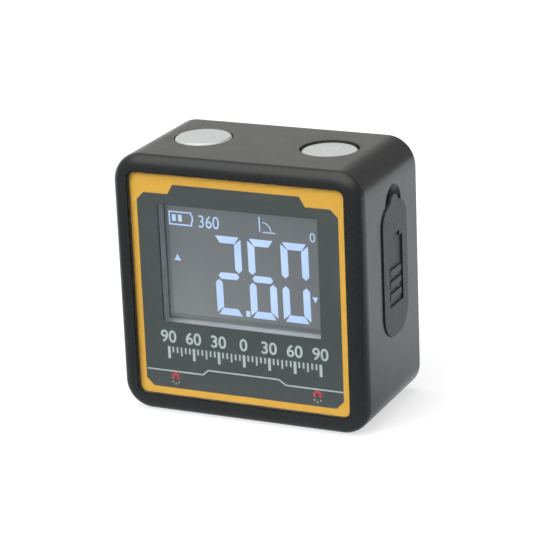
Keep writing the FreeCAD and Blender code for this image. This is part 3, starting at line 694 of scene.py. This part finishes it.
def make_display(film, glow):
    """The display's front film, and what is lit on it: 2.60 degrees, two pointers and three small signs."""
    low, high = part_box("lcd_polarizer_front")
    bpy.ops.mesh.primitive_cube_add(size=1, location=(low + high) / 2)
    face = bpy.context.object
    face.name = "display_face"
    face.scale = high - low
    settle(face)
    soften(face, 0.04)
    carry(face, "case", "smoke_polarizer", film, "lcd_polarizer_front")

    def mark(name, *outlines):
        moved = [[on_display(x, z) for x, z in outline] for outline in outlines]
        carry(flat_mark(name, moved, display_front), "case", "display_glass", glow)

    bottom, top = 21.8, 37.8
    mark("digit_two", *digit("abged", -4.6, 1.14, bottom, top))
    mark("digit_six", *digit("afgecd", 2.55, 8.27, bottom, top))
    mark("digit_nought", *digit("abcdef", 9.45, 15.17, bottom, top))
    mark("decimal_point", rectangle(1.5, 2.33, 21.9, 23.1))
    mark("up_pointer", [(-13.3, 31.9), (-11.83, 31.9), (-12.56, 33.25)])
    mark("down_pointer", [(15.6, 27.4), (16.8, 27.4), (16.2, 26.2)])

    case_left, case_right, case_bottom, case_top = -13.78, -9.1, 39.22, 41.74
    nub_right, nub_bottom, nub_top = -8.85, 40.04, 41.06
    stroke = 0.28
    case_edge = [(case_right, 41.2), (case_right, case_top), (case_left, case_top),
                 (case_left, case_bottom), (case_right, case_bottom), (case_right, 39.9)]
    nub_edge = [(case_right, nub_top), (nub_right, nub_top), (nub_right, nub_bottom),
                (case_right, nub_bottom)]
    mark("charge_case", band(case_edge, stroke))
    mark("charge_nub", band(nub_edge, stroke))
    mark("charge_bars", rectangle(-13.25, -12.4, 39.85, 41.2), rectangle(-11.93, -11.1, 39.85, 41.2))

    corner_x, corner_z = 5.9, 39.46
    mark("angle_sides", rectangle(5.2, 5.45, 39.4, 42.4), rectangle(corner_x, 8.6, 39.25, corner_z))
    mark("angle_sweep", band(ring_points(corner_x, corner_z, 1.75, 1.85, 4, 88, 14), 0.17))
    ring_x, ring_z = 16.2, 39.25
    mark("degree_ring", ring_points(ring_x, ring_z, 0.55, 0.92)[:-1],
         ring_points(ring_x, ring_z, 0.33, 0.7)[:-1])
    x, z = on_display(-5.45, 39.05)
    figures = text_mark("turn_figures", "360", x, z, 2.6, display_front, width_share=0.86)
    carry(figures, "case", "display_glass", glow)


# The rubber flap

def join_across_hinge():
    """One mesh of the flap and its fixed end, bridged over the gap between them."""
    flap = join("rubber_flap", [copy_of("port_flap", "flap_upper"), copy_of("flap_anchor", "flap_lower")])
    gap_low, gap_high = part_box("flap_anchor")[1].z / mm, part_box("port_flap")[0].z / mm
    pick_faces(flap, lambda middle, normal: abs(normal.z) > 0.99
               and gap_low - 0.01 < middle.z < gap_high + 0.01)
    bpy.ops.mesh.delete(type="FACE")
    leave_edit()
    pick_edges(flap, lambda first, second: all(abs(point.z - gap_low) < 0.002 for point in (first, second))
               or all(abs(point.z - gap_high) < 0.002 for point in (first, second)))
    bpy.ops.mesh.bridge_edge_loops()
    leave_edit()
    edit_all(flap)
    bpy.ops.mesh.normals_make_consistent(inside=False)
    leave_edit()
    return flap


def sink_battery_sign(flap):
    """Cuts a battery and its three bars into the flap's face, drawn as outlines of y and z."""
    depth = 0.4
    left, right, foot, shoulder = -1.66, 5.04, 22.2, 35.3
    nub_left, nub_right, nub_top = -0.26, 3.64, 36.4
    battery = [(left, foot), (right, foot), (right, shoulder), (nub_right, shoulder), (nub_right, nub_top),
               (nub_left, nub_top), (nub_left, shoulder), (left, shoulder)]
    bar_inset, bar_end, bar_height = 0.4, 4.14, 1.25
    bars = [rectangle(left + bar_inset, bar_end, top - bar_height, top) for top in (29.5, 27.2, 24.8)]
    cutter = flat_mark("sign_cutter", [battery] + bars, 0, 2 * depth)
    cutter.rotation_euler = (0, 0, math.pi / 2)
    settle(cutter)
    cutter.location = ((flap_face - depth) * mm, 0, 0)
    settle(cutter)
    apply_modifier(flap, "BOOLEAN", operation="DIFFERENCE", object=cutter, solver="EXACT")
    bpy.data.objects.remove(cutter)


def make_flap(material):
    """One rubber skin over the flap and its fixed end, joined across the gap between the two and cut across
    at eight heights.
    """
    flap = join_across_hinge()
    sink_battery_sign(flap)
    for height in (19.2, 19.5, 19.8, 20.1, 20.7, 21.0, 21.3, 21.6):
        edit_all(flap)
        bpy.ops.mesh.bisect(plane_co=(0, 0, height * mm), plane_no=(0, 0, 1))
        leave_edit()
    soften(flap, 0.05)
    flap.data.materials.clear()
    flap.data.materials.append(material)
    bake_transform(flap)
    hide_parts("port_flap", "flap_anchor")


# Inner pieces keep their CAD shapes and get their own finish

def finish_inner_pieces():
    """Gives each remaining CAD piece the material of its kind."""
    finishes = {
        ("lens_border_print",): printed_ink("amber_ink", (0.66, 0.365, 0.045)),
        ("lens_panel_print",): printed_ink("dark_ink", (0.05, 0.06, 0.06)),
        ("lens_tape",): foam("lens_tape_foam", (0.04, 0.04, 0.04)),
        # Painted light: the gasket's foam is pale grey to stand in for the light that falls on the window's
        # inner walls
        ("display_gasket",): foam("gasket_foam_painted_light", (0.46, 0.48, 0.5)),
        ("lcd_cell",): clear_sheet("display_glass", (0.75, 0.82, 0.85), 0.05),
        ("lcd_polarizer_rear",): clear_sheet("smoke_polarizer", (0.2, 0.2, 0.22), 0.15),
        ("lcd_diffuser",): clear_sheet("diffuser_film", (0.9, 0.92, 0.95), 0.6),
        ("lcd_light_guide",): clear_sheet("guide_acrylic", (0.93, 0.96, 0.98), 0.04),
        ("lcd_backlight_leds", "lcd_frame"): moulded("white_plastic", (0.78, 0.79, 0.77), 0.5),
        ("lcd_pins",): metal("tinned_metal", (0.72, 0.71, 0.68), 0.3),
        ("main_board", "battery_protection_board"): board_laminate(),
        ("board_screws",): metal("board_screw_steel", (0.6, 0.6, 0.58), 0.32),
        ("microcontroller", "tilt_sensor", "charger_chip"):
            moulded("chip_resin", (0.03, 0.03, 0.032), 0.55),
        ("board_components",): moulded("ceramic_part", (0.5, 0.38, 0.25), 0.45),
        ("usb_socket_shell",): metal("socket_steel", (0.7, 0.7, 0.71), 0.25, (1, 8, 8)),
        ("usb_socket_tongue",): moulded("black_resin", (0.03, 0.03, 0.03), 0.5),
        ("battery_cell",): metal("battery_foil", (0.68, 0.69, 0.71), 0.35),
        ("battery_pad",): foam("battery_pad_foam", (0.03, 0.03, 0.03)),
        ("battery_leads",): moulded("lead_insulation", (0.45, 0.02, 0.02), 0.45),
        ("battery_plug", "battery_connector"): moulded("connector_nylon", (0.8, 0.76, 0.64), 0.45),
        ("power_switch_body", "zero_switch_body", "power_switch_plunger", "zero_switch_plunger"):
            moulded("switch_resin", (0.04, 0.04, 0.042), 0.5),
    }
    for nodes, material in finishes.items():
        for node in nodes:
            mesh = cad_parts[node].data
            mesh.materials.clear()
            mesh.materials.append(material)


# Stage, light and camera

def make_floor():
    """A pale floor: white to the camera apart from the shadow, open from below, and dark in front and
    pale behind in what shiny surfaces mirror."""
    bpy.ops.mesh.primitive_plane_add(size=8, location=(0, 0, -0.02 * mm))
    floor = bpy.context.object
    floor.name = "floor"
    material = bpy.data.materials.new("floor_paper")
    material.use_nodes = True
    material.node_tree.nodes.clear()
    nodes = Nodes(material.node_tree)

    paper = nodes.node("ShaderNodeBsdfDiffuse")
    paper.inputs["Color"].default_value = (0.5, 0.5, 0.5, 1)
    lifted = nodes.node("ShaderNodeAddShader")
    nodes.link(paper.outputs[0], lifted, 0)
    nodes.link(nodes.glow("ShaderNodeEmission", (1.0, 1.0, 1.0), 0.6), lifted, 1)

    place = nodes.node("ShaderNodeTexCoord").outputs["Object"]
    dark_y, pale_y = -45 * mm, 60 * mm
    level = nodes.span(nodes.along(place, "Y"), 0.18, 1.15, dark_y, pale_y, "SMOOTHSTEP")
    mirrored = nodes.glow("ShaderNodeEmission", (0.93, 0.985, 1.0), level)

    ray = nodes.node("ShaderNodeLightPath").outputs
    other = nodes.choose(ray["Is Glossy Ray"], paper.outputs[0], mirrored)
    above = nodes.choose(ray["Is Camera Ray"], other, lifted.outputs[0])
    below = nodes.node("ShaderNodeBsdfTransparent").outputs[0]
    side = nodes.node("ShaderNodeNewGeometry").outputs["Backfacing"]
    surface = nodes.choose(side, above, below)
    nodes.link(surface, nodes.node("ShaderNodeOutputMaterial"), "Surface")
    floor.data.materials.append(material)


def light_world():
    """Soft light all round, white to the camera; in reflections bright above and behind, darker in front."""
    world = bpy.data.worlds.new("studio")
    bpy.context.scene.world = world
    world.use_nodes = True
    world.node_tree.nodes.clear()
    nodes = Nodes(world.node_tree)

    direction = nodes.node("ShaderNodeTexCoord").outputs["Generated"]
    x, y, z = (nodes.along(direction, axis) for axis in "XYZ")
    forward = nodes.maths("SUBTRACT", z, nodes.span(y, -0.25, 0.25, -1.0, 1.0))
    above = nodes.span(forward, 0.2, 1.4, 0.55, 0.95, "SMOOTHSTEP")
    left = nodes.maths("MULTIPLY", nodes.span(x, 1.0, 0.25, -0.35, 0.0, "SMOOTHSTEP"),
                       nodes.span(z, 1.0, 0.2, 0.3, 0.6, "SMOOTHSTEP"))
    behind = nodes.maths("MULTIPLY", left, nodes.span(y, 0.0, 0.52, 0.1, 0.6, "SMOOTHSTEP"))

    kind = "ShaderNodeBackground"
    mirrored = nodes.glow(kind, (1.0, 1.0, 0.94), nodes.maths("ADD", above, behind))
    soft = nodes.glow(kind, (0.98, 0.99, 1.0), 0.62)
    white = nodes.glow(kind, (1.0, 1.0, 1.0), 1.0)
    ray = nodes.node("ShaderNodeLightPath").outputs
    other = nodes.choose(ray["Is Glossy Ray"], soft, mirrored)
    through = nodes.choose(ray["Is Transmission Ray"], other, white)
    light = nodes.choose(ray["Is Camera Ray"], through, white)
    nodes.link(light, nodes.node("ShaderNodeOutputWorld"), "Surface")


def add_lamp(name, place, size, power):
    """A square lamp that faces the object and isn't mirrored in it."""
    aim = Vector((0, 0, 0.03))
    lamp = bpy.data.lights.new(name, "AREA")
    lamp.shape = "SQUARE"
    lamp.size = size
    lamp.energy = power
    holder = bpy.data.objects.new(name, lamp)
    bpy.context.scene.collection.objects.link(holder)
    holder.location = place
    holder.rotation_euler = (aim - Vector(place)).to_track_quat("-Z", "Y").to_euler()
    holder.visible_glossy = False


def add_camera():
    """The photograph's view: from the front, a little from the right and above."""
    camera = bpy.data.cameras.new("camera")
    camera.sensor_width = 36
    camera.lens = 162.72
    camera.clip_start = 0.01
    camera.clip_end = 20
    holder = bpy.data.objects.new("camera", camera)
    bpy.context.scene.collection.objects.link(holder)
    holder.location = (0.195988, -0.414728, 0.180931)
    holder.rotation_euler = [math.radians(turn) for turn in (71.2811, 2.2414, 24.364)]
    bpy.context.scene.camera = holder


round_off("housing", "body_shell", 0.07, "housing_plastic", housing_plastic())
round_off("rear_cover", "back_plate", 0.15, "cover_plastic", cover_plastic())
screw_steel = metal("steel_screw", (0.55, 0.55, 0.54), 0.33)
round_off("rear_cover_screws", "back_screws", 0.1, "steel_screw", screw_steel)
nickel = metal("magnet_nickel", (0.72, 0.7, 0.66), 0.16)
round_off("base_magnet_left", "magnet_disc_left", 0.05, "magnet_nickel", nickel)
round_off("base_magnet_right", "magnet_disc_right", 0.05, "magnet_nickel", nickel)
cap_paint = silver_paint()
cap_ink = printed_ink("cap_sign_ink", (0.5, 0.52, 0.52), 0.5)
make_cap("power", power_sign(), cap_paint, cap_ink)
make_cap("zero", zero_sign(), cap_paint, cap_ink)
finish_inner_pieces()
make_window(clear_acrylic(), printed_ink("edge_ink", (0.02, 0.02, 0.02), 0.5))
make_panel_marks(pale=printed_ink("pale_ink", (0.42, 0.48, 0.48)),
                 red=printed_ink("red_ink", (0.47, 0.035, 0.045)),
                 white=printed_ink("white_ink", (0.62, 0.66, 0.66)))
make_display(display_film(), lit_segment())
make_flap(flap_rubber())

make_floor()
light_world()
add_lamp("front_box", (-0.3, -0.75, 0.5), 0.7, 7.0)
add_lamp("top_box", (-0.1, -0.05, 0.8), 0.6, 2.5)
add_camera()
bpy.context.scene.view_settings.view_transform = "Standard"
